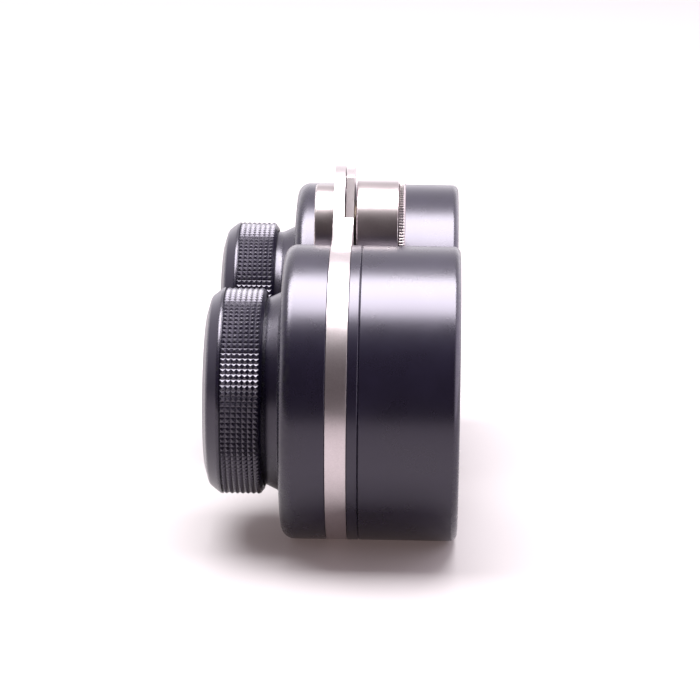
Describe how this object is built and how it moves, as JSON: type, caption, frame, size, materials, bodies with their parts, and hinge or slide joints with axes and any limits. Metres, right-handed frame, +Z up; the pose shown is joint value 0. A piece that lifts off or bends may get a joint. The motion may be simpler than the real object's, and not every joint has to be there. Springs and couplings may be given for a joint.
{
  "type": "wide-field binocular",
  "caption": "Pair of short wide barrels on one lapped hinge, with turning eyepieces that focus on their own threads, for wide-field star viewing.",
  "frame": {"origin": "centre of the bounding box in X and Y, at the surface the two barrels lie on", "axes": "+X out of the objectives, +Y to the user's left, +Z up through the hinge"},
  "size_m": [0.0468, 0.111, 0.0637],
  "materials": {
    "black_anodised": "bead-blasted black anodised",
    "black_matt": "matt black anodised",
    "black_knurled": "knurled black anodised",
    "nickel_satin": "bead-blasted nickel plate",
    "nickel_turned": "fine turned nickel plate",
    "steel": "plain steel",
    "bronze": "plain bronze",
    "lens_glass": "coated optical glass"
  },
  "bodies": {
    "right_barrel": {"right_arm": "nickel_satin", "right_rear_housing": "black_anodised", "right_lock_ring": "black_anodised", "right_front_tube": "black_anodised", "right_objective_rear_lens": "lens_glass", "right_objective_spacer": "black_anodised", "right_objective_front_lens": "lens_glass", "right_objective_retainer": "black_anodised", "right_light_baffle": "black_matt", "right_arm_dowel": "steel", "right_focus_key": "steel", "hinge_axle": "steel", "hinge_rear_cap": "nickel_turned", "hinge_mid_washer": "bronze", "hinge_front_washer": "bronze", "hinge_front_sleeve": "nickel_turned", "hinge_spring_washer": "steel", "hinge_tension_nut": "bronze", "hinge_end_cap": "nickel_turned", "hinge_stop_pin": "steel"},
    "left_barrel": {"left_arm": "nickel_satin", "left_rear_housing": "black_anodised", "left_lock_ring": "black_anodised", "left_front_tube": "black_anodised", "left_objective_rear_lens": "lens_glass", "left_objective_spacer": "black_anodised", "left_objective_front_lens": "lens_glass", "left_objective_retainer": "black_anodised", "left_light_baffle": "black_matt", "left_arm_dowel": "steel", "left_focus_key": "steel"},
    "right_ocular": {"right_ocular_cell": "black_matt", "right_ocular_field_lens": "lens_glass", "right_ocular_spacer": "black_anodised", "right_ocular_eye_lens": "lens_glass", "right_ocular_retainer": "black_anodised", "right_ocular_clip": "steel"},
    "right_grip": {"right_focus_grip": "black_knurled", "right_eye_bezel": "black_anodised"},
    "left_ocular": {"left_ocular_cell": "black_matt", "left_ocular_field_lens": "lens_glass", "left_ocular_spacer": "black_anodised", "left_ocular_eye_lens": "lens_glass", "left_ocular_retainer": "black_anodised", "left_ocular_clip": "steel"},
    "left_grip": {"left_focus_grip": "black_knurled", "left_eye_bezel": "black_anodised"}
  },
  "joints": [
    {"name": "hinge_fold", "type": "hinge", "parent": "right_barrel", "child": "left_barrel", "pos_m": [0, 0, 0.05091], "axis": [1, 0, 0], "range_deg": [-3, 80]},
    {"name": "right_focus_travel", "type": "slide", "parent": "right_barrel", "child": "right_ocular", "axis": [-1, 0, 0], "range_m": [-0.001, 0.0026]},
    {"name": "right_focus_turn", "type": "hinge", "parent": "right_ocular", "child": "right_grip", "pos_m": [-0.01658, -0.0285, 0.027], "axis": [-1, 0, 0], "range_deg": [-35.9, 93.5]},
    {"name": "left_focus_travel", "type": "slide", "parent": "left_barrel", "child": "left_ocular", "axis": [-1, 0, 0], "range_m": [-0.00169, 0.00191]},
    {"name": "left_focus_turn", "type": "hinge", "parent": "left_ocular", "child": "left_grip", "pos_m": [-0.01658, 0.0285, 0.027], "axis": [-1, 0, 0], "range_deg": [-60.8, 68.7]}
  ],
  "couplings": [
    {"joint": "right_focus_travel", "follows": "right_focus_turn", "m_per_rad": 0.0015915},
    {"joint": "left_focus_travel", "follows": "left_focus_turn", "m_per_rad": 0.0015915}
  ]
}
